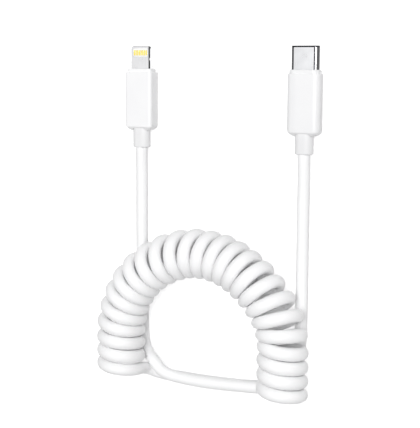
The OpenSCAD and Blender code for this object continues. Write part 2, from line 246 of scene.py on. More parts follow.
rangeInputs = ("From Min", "From Max", "To Min", "To Max")


def feed(tree, socket, value):  # with a link or a fixed value
    if isinstance(value, bpy.types.NodeSocket):
        tree.links.new(value, socket)
    else:
        socket.default_value = value


def addMath(tree, kind, *values):
    node = tree.nodes.new("ShaderNodeMath")
    node.operation = kind
    for socket, value in zip(node.inputs, values):
        feed(tree, socket, value)
    return node.outputs[0]


def seenRays(tree):  # 1 for rays from the camera and those mirrored or let through by a piece
    rays = tree.nodes.new("ShaderNodeLightPath").outputs
    either = addMath(tree, "MAXIMUM", rays["Is Camera Ray"], rays["Is Glossy Ray"])
    return addMath(tree, "MAXIMUM", either, rays["Is Transmission Ray"])


def addFloor(setup):
    bpy.ops.mesh.primitive_plane_add(size=setup["floorSize"], location=(0, 0, 0))
    floor = bpy.context.object
    floor.name = "studioFloor"
    paint = bpy.data.materials.new("palePaper")
    paint.use_nodes = True
    tree = paint.node_tree
    tree.nodes.clear()
    matt = tree.nodes.new("ShaderNodeBsdfDiffuse")
    matt.inputs["Color"].default_value = setup["floorTone"]
    glow = tree.nodes.new("ShaderNodeEmission")
    lift = addMath(tree, "MULTIPLY", seenRays(tree), setup["floorLift"])
    tree.links.new(lift, glow.inputs["Strength"])
    both = tree.nodes.new("ShaderNodeAddShader")
    out = tree.nodes.new("ShaderNodeOutputMaterial")
    tree.links.new(matt.outputs[0], both.inputs[0])
    tree.links.new(glow.outputs[0], both.inputs[1])
    tree.links.new(both.outputs[0], out.inputs["Surface"])
    floor.data.materials.append(paint)


# white for the camera, metal and glass, and soft light for the rest, dim near the horizon
def addSky(setup):
    sky = bpy.data.worlds.new("studioSky")
    sky.use_nodes = True
    bpy.context.scene.world = sky
    tree = sky.node_tree
    tree.nodes.clear()
    apart = tree.nodes.new("ShaderNodeSeparateXYZ")
    tree.links.new(tree.nodes.new("ShaderNodeTexCoord").outputs["Generated"], apart.inputs[0])
    height = tree.nodes.new("ShaderNodeMapRange")
    height.interpolation_type = "SMOOTHSTEP"
    dimLevel = setup["darkLevel"] * setup["skyLevel"]
    limits = (*setup["darkUpTo"], dimLevel, setup["skyLevel"])
    for label, limit in zip(rangeInputs, limits):
        height.inputs[label].default_value = limit
    tree.links.new(apart.outputs["Z"], height.inputs["Value"])
    soft, white = (tree.nodes.new("ShaderNodeBackground") for i in range(2))
    for light in (soft, white):
        light.inputs["Color"].default_value = (1, 1, 1, 1)
    tree.links.new(height.outputs[0], soft.inputs["Strength"])
    white.inputs["Strength"].default_value = 1.0
    mix = tree.nodes.new("ShaderNodeMixShader")
    tree.links.new(seenRays(tree), mix.inputs["Fac"])
    tree.links.new(soft.outputs[0], mix.inputs[1])
    tree.links.new(white.outputs[0], mix.inputs[2])
    out = tree.nodes.new("ShaderNodeOutputWorld")
    tree.links.new(mix.outputs[0], out.inputs["Surface"])


def addKeyLamp(setup):
    place = Vector(setup["keyPlace"])
    aim = Vector(setup["keyAim"]) - place
    bpy.ops.object.light_add(type="AREA", location=place,
                             rotation=aim.to_track_quat("-Z", "Y").to_euler())
    lamp = bpy.context.object
    lamp.name = "keyLamp"
    lamp.data.shape = "DISK"
    lamp.data.size = setup["keySize"]
    lamp.data.energy = setup["keyPower"]


addCamera(cameraSetup)
addFloor(studio)
addSky(studio)
addKeyLamp(studio)
bpy.context.scene.view_settings.view_transform = "Standard"
print("camera, floor and light made")


def startGroup(name, inputs, outputs):
    group = bpy.data.node_groups.new(name, "ShaderNodeTree")
    for label, kind, value in inputs:
        socket = group.interface.new_socket(name=label, in_out="INPUT", socket_type=kind)
        socket.default_value = value
    for label, kind in outputs:
        group.interface.new_socket(name=label, in_out="OUTPUT", socket_type=kind)
    return group, group.nodes.new("NodeGroupInput"), group.nodes.new("NodeGroupOutput")


def addNoise(tree, where, scale, detail, stretch=None):  # stretch is how much finer it is each way
    noise = tree.nodes.new("ShaderNodeTexNoise")
    noise.inputs["Detail"].default_value = detail
    if stretch:
        mapping = tree.nodes.new("ShaderNodeMapping")
        mapping.inputs["Scale"].default_value = stretch
        tree.links.new(where, mapping.inputs["Vector"])
        where = mapping.outputs[0]
    tree.links.new(where, noise.inputs["Vector"])
    tree.links.new(scale, noise.inputs["Scale"])
    return noise.outputs["Fac"]


noiseSpan = (0.3, 0.7)  # where nearly all of a noise lies
skinOutputs = [("Colour", "NodeSocketColor"), ("Roughness", "NodeSocketFloat"),
               ("Height", "NodeSocketFloat")]


def addRange(tree, value, low, high):  # moves the span of a noise to low and high
    change = tree.nodes.new("ShaderNodeMapRange")
    tree.links.new(value, change.inputs["Value"])
    for label, limit in zip(rangeInputs, (*noiseSpan, low, high)):
        feed(tree, change.inputs[label], limit)
    return change.outputs["Result"]


def addBlend(tree, amount, first, second):
    mix = tree.nodes.new("ShaderNodeMix")
    mix.data_type = "RGBA"
    for place, source in ((0, amount), (6, first), (7, second)):  # its factor and its two colours
        tree.links.new(source, mix.inputs[place])
    return mix.outputs[2]


def makeMouldedSkin():  # pale clouding, a fine orange peel and a slightly uneven gloss
    group, given, result = startGroup(
        "mouldedSkin",
        [("Tone", "NodeSocketColor", (0.9, 0.9, 0.9, 1)),
         ("Cloud Tone", "NodeSocketColor", (0.85, 0.85, 0.86, 1)),
         ("Cloud Scale", "NodeSocketFloat", 120), ("Peel Scale", "NodeSocketFloat", 2500),
         ("Gloss Low", "NodeSocketFloat", 0.35), ("Gloss High", "NodeSocketFloat", 0.45)],
        skinOutputs)
    where = group.nodes.new("ShaderNodeTexCoord").outputs["Object"]
    cloud = addNoise(group, where, given.outputs["Cloud Scale"], detail=3)
    peel = addNoise(group, where, given.outputs["Peel Scale"], detail=2)
    share = addRange(group, cloud, 0, 1)
    colour = addBlend(group, share, given.outputs["Tone"], given.outputs["Cloud Tone"])
    group.links.new(colour, result.inputs["Colour"])
    gloss = addRange(group, cloud, given.outputs["Gloss Low"], given.outputs["Gloss High"])
    group.links.new(gloss, result.inputs["Roughness"])
    group.links.new(peel, result.inputs["Height"])
    return group


def makeDrawnMetal():  # fine lines along the way the sheet was drawn, with faint stains
    group, given, result = startGroup(
        "drawnMetal",
        [("Tone", "NodeSocketColor", (0.75, 0.76, 0.78, 1)),
         ("Line Tone", "NodeSocketColor", (0.6, 0.61, 0.63, 1)),
         ("Line Scale", "NodeSocketFloat", 900), ("Stain Scale", "NodeSocketFloat", 300),
         ("Gloss Low", "NodeSocketFloat", 0.25), ("Gloss High", "NodeSocketFloat", 0.4)],
        skinOutputs)
    where = group.nodes.new("ShaderNodeTexCoord").outputs["Object"]
    lines = addNoise(group, where, given.outputs["Line Scale"], detail=4, stretch=(6, 0.15, 6))
    stain = addNoise(group, where, given.outputs["Stain Scale"], detail=2)
    share = addRange(group, lines, 0, 1)
    colour = addBlend(group, share, given.outputs["Tone"], given.outputs["Line Tone"])
    group.links.new(colour, result.inputs["Colour"])
    gloss = addRange(group, stain, given.outputs["Gloss Low"], given.outputs["Gloss High"])
    group.links.new(gloss, result.inputs["Roughness"])
    group.links.new(lines, result.inputs["Height"])
    return group


def addStep(tree, value, low, high):  # 0 up to low and 1 from high
    step = tree.nodes.new("ShaderNodeMapRange")
    step.interpolation_type = "SMOOTHSTEP"
    for label, source in (("Value", value), ("From Min", low), ("From Max", high)):
        tree.links.new(source, step.inputs[label])
    return step.outputs["Result"]


tipReach = 0.0005  # m, how much lower the painted dark reflection on the side reaches at the tip


# painted reflections and shade on the steel: darker on the rolled sides and the lip, with one thin
# dark line beside the flat
def makePaintedReflections():
    group, given, result = startGroup(
        "paintedReflections",
        [("Tone", "NodeSocketColor", (0.8, 0.8, 0.8, 1)),
         ("Edge Tone", "NodeSocketColor", (0.05, 0.05, 0.05, 1)),
         ("Middle X", "NodeSocketFloat", 0), ("Side From", "NodeSocketFloat", 1),
         ("Side Soft", "NodeSocketFloat", 0.0001), ("Side Depth", "NodeSocketFloat", 1),
         ("Line From", "NodeSocketFloat", 1), ("Line Width", "NodeSocketFloat", 0.0001),
         ("Lip From", "NodeSocketFloat", 1), ("Low Z", "NodeSocketFloat", -1),
         ("Tip From", "NodeSocketFloat", 1)],
        [("Colour", "NodeSocketColor")])
    apart = group.nodes.new("ShaderNodeSeparateXYZ")
    group.links.new(group.nodes.new("ShaderNodeTexCoord").outputs["Object"], apart.inputs[0])

    def reckon(kind, *values):
        return addMath(group, kind, *values)

    def stepFrom(value, label):
        low = given.outputs[label]
        return addStep(group, value, low, reckon("ADD", low, given.outputs["Side Soft"]))

    signed = reckon("SUBTRACT", apart.outputs["X"], given.outputs["Middle X"])
    side = stepFrom(reckon("ABSOLUTE", signed), "Side From")
    lip = reckon("MULTIPLY", stepFrom(apart.outputs["Y"], "Lip From"),
                 stepFrom(apart.outputs["Z"], "Low Z"))
    atTip = reckon("MULTIPLY", stepFrom(apart.outputs["Y"], "Tip From"), tipReach)
    upper = stepFrom(reckon("ADD", apart.outputs["Z"], atTip), "Low Z")
    rolled = reckon("MULTIPLY", reckon("MULTIPLY", side, upper), given.outputs["Side Depth"])
    away = reckon("ABSOLUTE", reckon("SUBTRACT", signed, given.outputs["Line From"]))
    line = reckon("LESS_THAN", away, given.outputs["Line Width"])
    mask = reckon("MAXIMUM", rolled, reckon("MAXIMUM", lip, line))
    colour = addBlend(group, mask, given.outputs["Tone"], given.outputs["Edge Tone"])
    group.links.new(colour, result.inputs["Colour"])
    return group


mouldedSkin = makeMouldedSkin()
drawnMetal = makeDrawnMetal()
paintedReflections = makePaintedReflections()
skinDepth = 0.02  # mm, how deep the finest relief goes
skinIor = 1.46


def makeFinish(name, group, values, metallic=0.0, relief=0.1):
    finish = bpy.data.materials.new(name)
    finish.use_nodes = True
    tree = finish.node_tree
    skin = tree.nodes.new("ShaderNodeGroup")
    skin.node_tree = group
    for label, value in values.items():
        skin.inputs[label].default_value = value
    shader = tree.nodes["Principled BSDF"]
    shader.inputs["Metallic"].default_value = metallic
    shader.inputs["IOR"].default_value = skinIor
    bump = tree.nodes.new("ShaderNodeBump")
    bump.inputs["Strength"].default_value = relief
    bump.inputs["Distance"].default_value = skinDepth * mm
    tree.links.new(skin.outputs["Colour"], shader.inputs["Base Color"])
    tree.links.new(skin.outputs["Roughness"], shader.inputs["Roughness"])
    tree.links.new(skin.outputs["Height"], bump.inputs["Height"])
    tree.links.new(bump.outputs["Normal"], shader.inputs["Normal"])
    return finish


def paintReflections(finish, values):  # puts the painted reflection group between the metal's lines and the shader
    tree = finish.node_tree
    shader = tree.nodes["Principled BSDF"]
    edge = tree.nodes.new("ShaderNodeGroup")
    edge.node_tree = paintedReflections
    for label, value in values.items():
        edge.inputs[label].default_value = value
    tree.links.new(shader.inputs["Base Color"].links[0].from_socket, edge.inputs["Tone"])
    tree.links.new(edge.outputs["Colour"], shader.inputs["Base Color"])
    return finish


def tone(red, green, blue):
    return (red, green, blue, 1)


finishes = {  # tones are plain shares of light, scales are per metre, places on the edges in metres
    "housing": makeFinish("whiteHousing", mouldedSkin, {
        "Tone": tone(0.93, 0.93, 0.935), "Cloud Tone": tone(0.90, 0.90, 0.91), "Cloud Scale": 90,
        "Peel Scale": 3200, "Gloss Low": 0.28, "Gloss High": 0.34}),
    # same white plastic as the housing, with a lower tone as painted shade on the oval plug
    "ovalHousing": makeFinish("whiteHousingPaintedShade", mouldedSkin, {
        "Tone": tone(0.875, 0.875, 0.88), "Cloud Tone": tone(0.85, 0.85, 0.86), "Cloud Scale": 90,
        "Peel Scale": 3200, "Gloss Low": 0.28, "Gloss High": 0.34}),
    "jacket": makeFinish("whiteJacket", mouldedSkin, {
        "Tone": tone(0.955, 0.955, 0.96), "Cloud Tone": tone(0.925, 0.925, 0.93), "Cloud Scale": 70,
        "Peel Scale": 2400, "Gloss Low": 0.34, "Gloss High": 0.44}, relief=0.12),
    "sleeve": makeFinish("whiteSleeve", mouldedSkin, {
        "Tone": tone(0.845, 0.845, 0.85), "Cloud Tone": tone(0.815, 0.815, 0.825), "Cloud Scale": 110,
        "Peel Scale": 2800, "Gloss Low": 0.20, "Gloss High": 0.26}),
    # painted reflection: the upper part of the tab's right side and its upper front lip are coloured
    # dark
    "tabSteel": paintReflections(makeFinish("platedTab", drawnMetal, {
        "Tone": tone(0.80, 0.80, 0.81), "Line Tone": tone(0.76, 0.76, 0.77), "Line Scale": 700,
        "Stain Scale": 260, "Gloss Low": 0.24, "Gloss High": 0.34}, metallic=1.0, relief=0.05), {
        "Edge Tone": tone(0.03, 0.03, 0.032), "Middle X": -0.02726, "Side From": 0.00311,
        "Side Soft": 0.00004, "Lip From": 0.01506, "Low Z": 0.00295, "Tip From": 0.0145}),
    # painted reflection and shade: dark rolled sides, a thin dark line beside the flat and a dark
    # front lip all round
    "shellSteel": paintReflections(makeFinish("platedShell", drawnMetal, {
        "Tone": tone(0.765, 0.77, 0.785), "Line Tone": tone(0.735, 0.74, 0.755), "Line Scale": 700,
        "Stain Scale": 260, "Gloss Low": 0.24, "Gloss High": 0.34}, metallic=1.0, relief=0.05), {
        "Edge Tone": tone(0.03, 0.03, 0.033), "Middle X": 0.02692, "Side From": 0.00338,
        "Side Soft": 0.00006, "Side Depth": 0.92, "Line From": 0.00284, "Line Width": 0.00022,
        "Lip From": 0.01466}),
    "spring": makeFinish("springStrip", drawnMetal, {
        "Tone": tone(0.66, 0.66, 0.67), "Line Tone": tone(0.55, 0.55, 0.57), "Line Scale": 900,
        "Stain Scale": 400, "Gloss Low": 0.28, "Gloss High": 0.42}, metallic=1.0),
    "gold": makeFinish("goldPlate", drawnMetal, {
        "Tone": tone(1.0, 0.82, 0.16), "Line Tone": tone(0.99, 0.76, 0.12), "Line Scale": 1200,
        "Stain Scale": 700, "Gloss Low": 0.22, "Gloss High": 0.32}, metallic=1.0, relief=0.05),
    "can": makeFinish("tinnedCan", drawnMetal, {
        "Tone": tone(0.80, 0.80, 0.82), "Line Tone": tone(0.70, 0.70, 0.73), "Line Scale": 500,
        "Stain Scale": 500, "Gloss Low": 0.3, "Gloss High": 0.5}, metallic=1.0, relief=0.15),
    "crimp": makeFinish("crimpRing", drawnMetal, {
        "Tone": tone(0.70, 0.68, 0.62), "Line Tone": tone(0.58, 0.56, 0.50), "Line Scale": 600,
        "Stain Scale": 600, "Gloss Low": 0.3, "Gloss High": 0.5}, metallic=1.0, relief=0.15),
    "insulator": makeFinish("whiteInsulator", mouldedSkin, {
        "Tone": tone(0.97, 0.97, 0.96), "Cloud Tone": tone(0.94, 0.94, 0.93), "Cloud Scale": 300,
        "Peel Scale": 5000, "Gloss Low": 0.4, "Gloss High": 0.5}),
    "carrier": makeFinish("darkCarrier", mouldedSkin, {
        "Tone": tone(0.035, 0.035, 0.04), "Cloud Tone": tone(0.05, 0.05, 0.055), "Cloud Scale": 400,
        "Peel Scale": 4000, "Gloss Low": 0.45, "Gloss High": 0.6}),
    "board": makeFinish("boardMask", mouldedSkin, {
        "Tone": tone(0.02, 0.20, 0.07), "Cloud Tone": tone(0.03, 0.28, 0.10), "Cloud Scale": 900,
        "Peel Scale": 6000, "Gloss Low": 0.25, "Gloss High": 0.4}),
    "chip": makeFinish("chipEpoxy", mouldedSkin, {
        "Tone": tone(0.03, 0.03, 0.033), "Cloud Tone": tone(0.05, 0.05, 0.05), "Cloud Scale": 2500,
        "Peel Scale": 9000, "Gloss Low": 0.5, "Gloss High": 0.65}),
    "mould": makeFinish("innerMould", mouldedSkin, {
        "Tone": tone(0.80, 0.79, 0.74), "Cloud Tone": tone(0.74, 0.73, 0.68), "Cloud Scale": 250,
        "Peel Scale": 3000, "Gloss Low": 0.5, "Gloss High": 0.6}),
    "core": makeFinish("coreInsulation", mouldedSkin, {
        "Tone": tone(0.70, 0.06, 0.05), "Cloud Tone": tone(0.62, 0.05, 0.04), "Cloud Scale": 500,
        "Peel Scale": 4000, "Gloss Low": 0.35, "Gloss High": 0.45}),
}
print("finishes made:", len(finishes))

carriedOver = {  # CAD nodes whose own shape stays, and what each is finished in
    "gold": ["oval_contacts_top", "oval_contacts_bottom"],
    "board": ["tab_circuit_board", "oval_circuit_board"],
    "chip": ["tab_chip", "oval_chip"],
    "can": ["tab_shield_can", "oval_shield_can"],
    "mould": ["tab_inner_mould", "oval_inner_mould"],
    "core": ["tab_wires", "oval_wires"],
    "crimp": ["tab_crimp", "oval_crimp"],
    "carrier": ["oval_carrier"],
    "spring": ["oval_latch_spring", "oval_ground_springs"],
}
for finish, names in carriedOver.items():
    for name in names:
        piece = cadNodes[name]
        piece.data.materials.clear()
        piece.data.materials.append(finishes[finish])


cord = {  # millimetres, the route of the construction, eased where the coil ends
    "diameter": 3.6,
    "layGap": 0.2,  # air between runs that cross
    "sides": 20,
    "ringsPerTurn": 36,
    "stepsPerSpan": 6,  # rings between two points of a free run
    "smoothUpTo": 50,  # degrees
    "blendStop": 0.4,  # behind a sleeve's mouth
}
coil = {  # millimetres, an arch with a straight column at each end
    "radius": 5.6,  # from the coil's axis to the cord's centre
    "pitch": 4.05, "turns": 24.75,
    "turnGap": 0.12,  # least air between turns that are pressed together
    "spread": 0.09,  # share by which the wound cord has set wider along the coil
    "leftX": -29.2, "rightX": 24.7, "crownX": -4.5,
    "leftY": -71.8, "rightY": -69.5, "crownY": -45.5, "endY": -83.7,
    "crownLift": 0.1,  # air under the crown
    "riseFrom": 0.1, "riseTo": 0.85,  # where between crown and columns the axis rises, as cosines
    "lengthPerDegree": 0.5,  # of the columns, whose places are given as angles too
    "lastAngle": 240,
    "bendShare": 0.4,  # how much closer the turns lie where the axis bends
    "bendSpan": 12,  # degrees either way over which a bend is measured
}
lowZ = cord["diameter"] / 2  # cord on the table
runZ = lowZ + cord["diameter"] + cord["layGap"]  # cord on another cord
columnZ = runZ + coil["radius"]
crownZ = coil["radius"] + lowZ + coil["crownLift"]


def ease(share):
    share = min(1, max(0, share))
    return share * share * (3 - 2 * share)


def axisAt(angle):  # a point on the coil's axis: right column below 0, arch, left column past 180
    if angle > 180:
        down = (angle - 180) * coil["lengthPerDegree"]
        return Vector((coil["leftX"], coil["leftY"] - down, columnZ))
    if angle < 0:
        return Vector((coil["rightX"], coil["rightY"] + angle * coil["lengthPerDegree"], columnZ))
    side, springY = ("leftX", "leftY") if angle > 90 else ("rightX", "rightY")
    cosine, sine = math.cos(math.radians(angle)), math.sin(math.radians(angle))
    climb = ease((abs(cosine) - coil["riseFrom"]) / (coil["riseTo"] - coil["riseFrom"]))
    return Vector((coil["crownX"] + abs(coil[side] - coil["crownX"]) * cosine,
                   coil[springY] + (coil["crownY"] - coil[springY]) * sine,
                   crownZ + (columnZ - crownZ) * climb))


def headingAt(angle):  # measured over one degree
    way = axisAt(angle - 0.5) - axisAt(angle + 0.5)
    return math.atan2(way.y, way.x)


def bendAt(angle):
    before, after = angle - coil["bendSpan"], angle + coil["bendSpan"]
    span = (axisAt(after) - axisAt(angle)).length + (axisAt(angle) - axisAt(before)).length
    return (headingAt(after) - headingAt(before)) / span


def windAxis():  # wound length against the arch angle
    angle, wound = (coil["endY"] - coil["rightY"]) / coil["lengthPerDegree"], 0
    table = []
    while angle <= coil["lastAngle"]:
        table.append((wound, angle))
        step = (axisAt(angle + 1) - axisAt(angle)).length
        wound += step * (1 - coil["bendShare"] * coil["radius"] * bendAt(angle + 0.5))
        angle += 1
    return table


winding = windAxis()


def angleAtTurn(turn):
    wound = turn * coil["pitch"]
    for (low, first), (high, second) in zip(winding, winding[1:]):
        if wound <= high:
            return first + (second - first) * (wound - low) / (high - low)
    return winding[-1][1]


def outAt(turn):  # from the coil's axis to the cord's centre, straight down where a turn starts
    heading, phase = headingAt(angleAtTurn(turn)), math.radians(360 * turn - 90)
    return Vector((-math.sin(heading) * math.cos(phase), math.cos(heading) * math.cos(phase),
                   math.sin(phase)))


def turnAt(turn):
    return axisAt(angleAtTurn(turn)) + outAt(turn) * coil["radius"]


def alongAt(turn):  # measured over a fiftieth of a turn
    return (turnAt(turn + 0.01) - turnAt(turn - 0.01)).normalized()


rightWay, leftWay = alongAt(0), alongAt(coil["turns"])
rightEnd = turnAt(0) - rightWay * cord["diameter"]
leftEnd = turnAt(coil["turns"]) + leftWay * cord["diameter"]

tabPlug = {"x": -27.0, "z": 2.45, "body": "tab_plug"}
ovalPlug = {"x": 26.6, "z": 2.65, "body": "oval_plug"}
faceY, jacketY, mouthY = 8.5, -8.5, -15.2  # a plug's front face, jacket's start and sleeve's mouth
tabTailRoute = [
    (tabPlug["x"], jacketY, tabPlug["z"]), (tabPlug["x"], mouthY, tabPlug["z"]),
    (-27.1, -18, 2.4), (-27.3, -22, 2.0), (-27.4, -27, lowZ), (-27.4, -36, lowZ), (-27.4, -44, lowZ)]
tabRunRoute = [  # along the left column, over the other run and across to the coil's right end
    (-27.4, -44, lowZ), (-27.4, -52, lowZ), (-27.3, -60, lowZ), (-27.1, -67, lowZ), (-27, -71, lowZ),
    (-26.7, -74.8, 1.9), (-25.8, -76.9, 2.5), (-24.2, -78.8, 3.5), (-22.6, -79.6, 4.6),
    (-21, -80.2, 5.6), (-19.5, -81.3, 6.3), (-18, -82.7, 6.4), (-15.8, -83.9, 6), (-11, -84.6, runZ),
    (-4, -84.8, runZ), (3, -84.6, runZ), (10, -84.2, runZ), (16, -83.9, runZ),
    tuple(rightEnd - 2 * rightWay), tuple(rightEnd)]
ovalRunRoute = [  # from the coil's left end down to the table and under the right column
    tuple(leftEnd), (-23.4, -83.2, 5.8), (-22.7, -83.9, 4.3), (-21.7, -84.6, 3.2),
    (-20.2, -85.2, 2.2), (-18.4, -85.5, lowZ), (-12, -85.6, lowZ), (-4, -85.6, lowZ), (3, -85.4, lowZ),
    (9, -85.1, lowZ), (14, -84.5, lowZ), (18.5, -83.1, lowZ), (22.3, -80.4, lowZ), (24.7, -76.6, lowZ),
    (25.8, -72, lowZ), (26.2, -67, lowZ), (26.3, -60, lowZ), (26.3, -52, lowZ), (26.3, -44, lowZ)]
ovalTailRoute = [
    (26.3, -44, lowZ), (26.3, -36, lowZ), (26.3, -27, lowZ), (26.5, -22, 2.2), (26.6, -18, 2.6),
    (ovalPlug["x"], mouthY, ovalPlug["z"]), (ovalPlug["x"], jacketY, ovalPlug["z"])]


def smoothRoute(route, before=None, after=None):  # one smooth line through all the points
    points = [Vector(p) for p in route]
    first = before or points[0] * 2 - points[1]
    last = after or points[-1] * 2 - points[-2]
    points = [first] + points + [last]
    line = []
    for p0, p1, p2, p3 in zip(points, points[1:], points[2:], points[3:]):
        t1 = math.sqrt((p1 - p0).length)
        t2 = t1 + math.sqrt((p2 - p1).length)
        t3 = t2 + math.sqrt((p3 - p2).length)
        for step in range(cord["stepsPerSpan"]):
            t = t1 + (t2 - t1) * step / cord["stepsPerSpan"]
            a1 = p0.lerp(p1, t / t1)
            a2 = p1.lerp(p2, (t - t1) / (t2 - t1))
            a3 = p2.lerp(p3, (t - t2) / (t3 - t2))
            b1 = a1.lerp(a2, t / t2)
            b2 = a2.lerp(a3, (t - t1) / (t3 - t1))
            line.append(b1.lerp(b2, (t - t1) / (t2 - t1)))
    line.append(points[-2])
    for point in line:
        point.z = max(point.z, lowZ)
    return line


def carryFrames(line, start):  # a side direction carried along a line without twisting
    sides, side = [], start
    for i in range(len(line)):
        way = (line[min(i + 1, len(line) - 1)] - line[max(i - 1, 0)]).normalized()
        side = (side - way * side.dot(way)).normalized()
        sides.append((side, way.cross(side)))
    return sides


def sweepCord(name, line, frames, widths):
    verts, faces = [], []
    count = cord["sides"]
    radius = cord["diameter"] / 2
    for point, (out, across), width in zip(line, frames, widths):
        for k in range(count):
            t = 2 * math.pi * k / count
            verts.append((point + out * radius * math.cos(t) + across * width / 2 * math.sin(t)) * mm)
    for ring in range(len(line) - 1):
        for k in range(count):
            a, b = ring * count + k, ring * count + (k + 1) % count
            faces.append((a, b, b + count, a + count))
    faces.append(tuple(reversed(range(count))))
    faces.append(tuple(range((len(line) - 1) * count, len(line) * count)))
    mesh = bpy.data.meshes.new(name)
    mesh.from_pydata(verts, [], faces)
    mesh.materials.append(finishes["jacket"])
    piece = bpy.data.objects.new(name, mesh)
    bpy.context.scene.collection.objects.link(piece)
    deselectAll()
    activate(piece)
    bpy.ops.object.shade_smooth_by_angle(angle=math.radians(cord["smoothUpTo"]))
    return piece


# how near the turn around point j comes to point i, or far enough if there's no such turn
def nearestBeside(line, i, j):
    quarter = cord["ringsPerTurn"] // 4
    beside = line[max(0, j - quarter):j + quarter + 1] if 0 <= j < len(line) else []
    return min([(point - line[i]).length for point in beside], default=2 * cord["diameter"])


def lineLength(line):
    return sum((b - a).length for a, b in zip(line, line[1:])) * mm


def buildCore():  # the run from the tab plug, the coil and the run to the oval plug, in one
    full, perTurn = cord["diameter"], cord["ringsPerTurn"]
    rings = int(coil["turns"] * perTurn)
    turns = [i / perTurn for i in range(rings + 1)]
    coilLine = [turnAt(turn) for turn in turns]
    frames = []
    for turn in turns:
        out, way = outAt(turn), alongAt(turn)
        across = way.cross(out).normalized()
        frames.append((across.cross(way), across))
    widths = []
    for i in range(rings + 1):
        near = min(nearestBeside(coilLine, i, i - perTurn), nearestBeside(coilLine, i, i + perTurn))
        spread = 1 + coil["spread"] * ease(min(i, rings - i) / perTurn)
        widths.append(min(full * spread, near - coil["turnGap"]))
    runIn = smoothRoute(tabRunRoute + [tuple(coilLine[0])], after=coilLine[1])[:-1]
    runOut = smoothRoute([tuple(coilLine[-1])] + ovalRunRoute, before=coilLine[-2])[1:]
    back = carryFrames(list(reversed(runIn)), frames[0][0])
    inFrames = [(out, -across) for out, across in reversed(back)]
    outFrames = carryFrames(runOut, frames[-1][0])
    line = runIn + coilLine + runOut
    widths = [full] * len(runIn) + widths + [full] * len(runOut)
    piece = sweepCord("cordCoil", line, inFrames + frames + outFrames, widths)
    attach(piece, "laid_cord")
    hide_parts("tab_run", "coil", "oval_run")
    print("cord laid:", round(lineLength(line), 3), "m")


def buildTail(name, route, node):
    line = smoothRoute(route)
    frames = carryFrames(line, Vector((0, 0, 1)))
    piece = sweepCord(name, line, frames, [cord["diameter"]] * len(line))
    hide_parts(node)
    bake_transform(piece)
    print(name, round(lineLength(line), 4), "m")


buildCore()
buildTail("tabTail", tabTailRoute, "tab_tail")
buildTail("ovalTail", ovalTailRoute, "oval_tail")


cases = {  # millimetres, measured from a plug's front face back
    "collarLength": 1.1, "spigotLength": 2.0, "bodyLength": 18.5, "rearWall": 1.5, "wall": 0.6,
    "fit": 0.05,  # air round a piece that slides into another
    "sleeveWidth": 5.4, "sleeveThickness": 4.1, "sleeveLength": 5.2, "sleeveRadius": 2.0,
    "tab": {"width": 9.2, "thickness": 4.9, "radius": 0.9, "innerRadius": 0.6,
            "collarWidth": 8.3, "collarThickness": 4.0, "collarRadius": 1.1, "rearSideIn": 1.85,
            "crown": 0.04},
    "oval": {"width": 10.0, "thickness": 5.3, "radius": 1.8, "innerRadius": 1.3,
             "collarWidth": 9.1, "collarThickness": 4.4, "collarRadius": 1.8, "rearSideIn": 2.25,
             "crown": 0.36},
    "outerSegments": 10, "innerSegments": 6, "holeSegments": 8, "boreSides": 48,
    "frontRound": (0.18, 3), "collarRound": (0.28, 4), "sleeveRound": (0.42, 4),  # radius, segments
    "crownCuts": 7,  # only the first is lifted, so the housings stay thinner than "thickness" says
    "rearProfile": [  # how far back, the share of rearSideIn, and how far in on the top and bottom
        (0.3, 0.03, 0), (0.56, 0.08, 0.01), (0.68, 0.13, 0.1), (0.95, 0.24, 0.35), (1.2, 0.4, 0.58),
        (1.4, 0.58, 0.76), (1.52, 0.74, 0.87), (1.58, 0.88, 0.94), (1.6, 1, 1.05)],
    "sleeveGap": 0.14,  # groove between a housing and its sleeve
    "weldIn": 0.2,  # how far a spigot reaches into its collar
    "past": 1,  # how far a cutter reaches past what it cuts
    "hole": (4, 2),  # length of the rear wall's cutter, and how far inside the rear end it starts
    "mouth": (9, 3),  # length of a collar's cutter, and how far ahead of the front face it starts
}


def buildHousing(name, plug, kind, node, finish):
    made, profile = cases[kind], cases["rearProfile"]
    length = cases["bodyLength"] - cases["collarLength"] - profile[-1][0]
    width, thickness, crown = made["width"], made["thickness"], made["crown"]
    front, inner, past = -cases["collarLength"], 2 * cases["wall"], cases["past"]
    case = addRoundBar(name, (width, length, thickness - 2 * crown), made["radius"],
                       cases["outerSegments"], front)
    crownFaces(case, width / 2 - made["radius"], thickness / 2 - crown, crown, cases["crownCuts"])
    roundEdges(case, *cases["frontRound"], liesAt(front))
    drawEnd(case, front - length, (width, length, thickness), made["rearSideIn"], profile)
    depth = cases["bodyLength"] - cases["collarLength"] - cases["rearWall"]
    hollow = (width - inner, depth + past, thickness - inner)
    cutAway(case, addRoundBar("hollow", hollow, made["innerRadius"], cases["innerSegments"],
                              front + past))
    gap, (cutLength, inside) = 2 * cases["sleeveGap"], cases["hole"]
    hole = (cases["sleeveWidth"] + gap, cutLength, cases["sleeveThickness"] + gap)
    cutAway(case, addRoundBar("hole", hole, cases["sleeveRadius"], cases["holeSegments"],
                              inside - cases["bodyLength"]))
    finishPiece(case, plug, finish, node)


def buildCollar(name, plug, kind, node, finish, makeMouth):
    made, fit, weldIn = cases[kind], cases["fit"], cases["weldIn"]
    rim = (made["collarWidth"], cases["collarLength"], made["collarThickness"])
    collar = addRoundBar(name, rim, made["collarRadius"], cases["outerSegments"], 0)
    roundEdges(collar, *cases["collarRound"], liesAt(0))
    inner = 2 * (cases["wall"] + fit)
    size = (made["width"] - inner, cases["spigotLength"] + weldIn, made["thickness"] - inner)
    spigot = addRoundBar("spigot", size, made["innerRadius"] - fit, cases["innerSegments"],
                         weldIn - cases["collarLength"])
    deselectAll()
    activate(collar)
    weld = collar.modifiers.new("weld", "BOOLEAN")
    weld.operation = "UNION"
    weld.solver = "EXACT"
    weld.object = spigot
    bpy.ops.object.modifier_apply(modifier=weld.name)
    bpy.data.objects.remove(spigot)
    cutAway(collar, makeMouth())
    finishPiece(collar, plug, finish, node)


